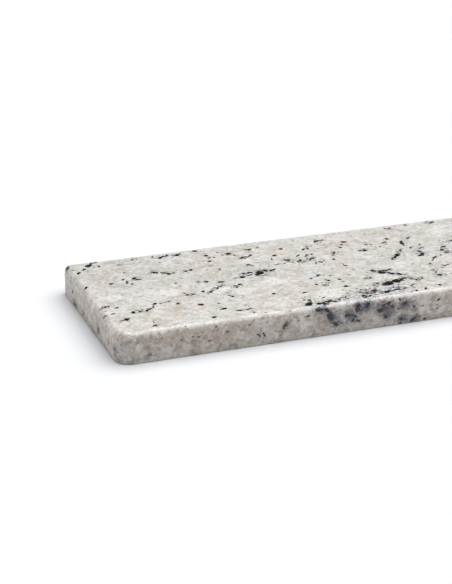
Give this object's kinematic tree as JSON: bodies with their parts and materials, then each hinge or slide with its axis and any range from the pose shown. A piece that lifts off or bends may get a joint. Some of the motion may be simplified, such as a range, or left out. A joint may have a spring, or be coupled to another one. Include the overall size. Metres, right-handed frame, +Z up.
{
  "type": "granite slab",
  "caption": "Long flat slab of polished pale granite with rounded corners, an eased rim and a level top: a firm, heavy surface for tooling, stamping and punching leather.",
  "frame": {"origin": "middle of the underside, on the surface that the slab lies on", "axes": "+X along the slab's length, +Y across it from the front edge to the back edge, +Z up out of the polished top"},
  "size_m": [0.45, 0.15, 0.025],
  "materials": {
    "polished_granite": "polished"
  },
  "bodies": {
    "root": {"granite_slab": "polished_granite"}
  },
  "joints": []
}
